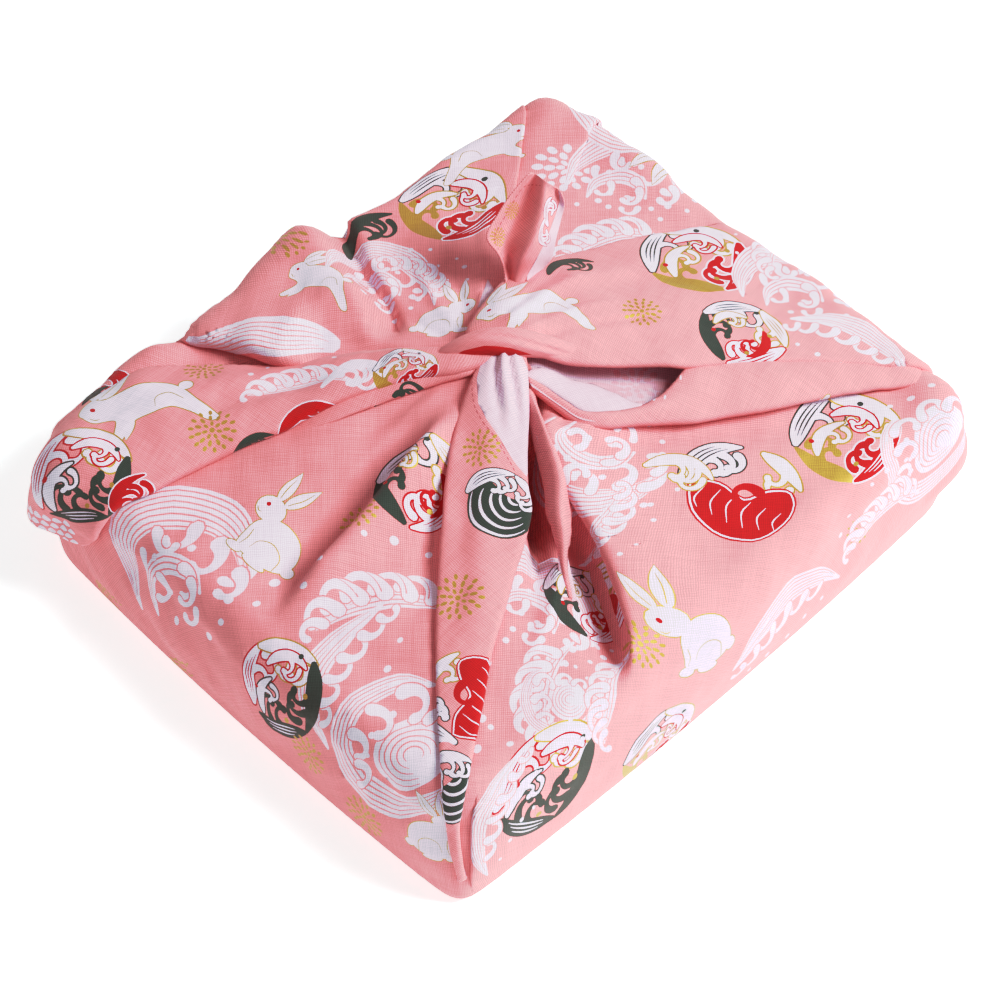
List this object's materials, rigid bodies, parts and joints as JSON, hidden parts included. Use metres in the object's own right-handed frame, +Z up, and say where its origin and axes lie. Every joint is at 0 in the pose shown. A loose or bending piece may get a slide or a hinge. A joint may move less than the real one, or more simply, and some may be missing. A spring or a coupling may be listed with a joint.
{
  "type": "furoshiki wrap",
  "caption": "Square printed cotton wrapping cloth tied over a low box-shaped load, with a knot, a standing tail and open pleats on top.",
  "frame": {"origin": "middle of the flat underside, between the four sides of the wrapped form", "axes": "+Z up, X along the long sides, Y along the short sides; the corner at -X -Y is the front one"},
  "size_m": [0.2512, 0.2148, 0.0965],
  "materials": {
    "printed_cotton": "matt plain-weave cotton, pink, printed in white, red, dark green and gold, with a pale reverse"
  },
  "bodies": {
    "root": {"furoshiki_wrap": "printed_cotton"}
  },
  "joints": []
}
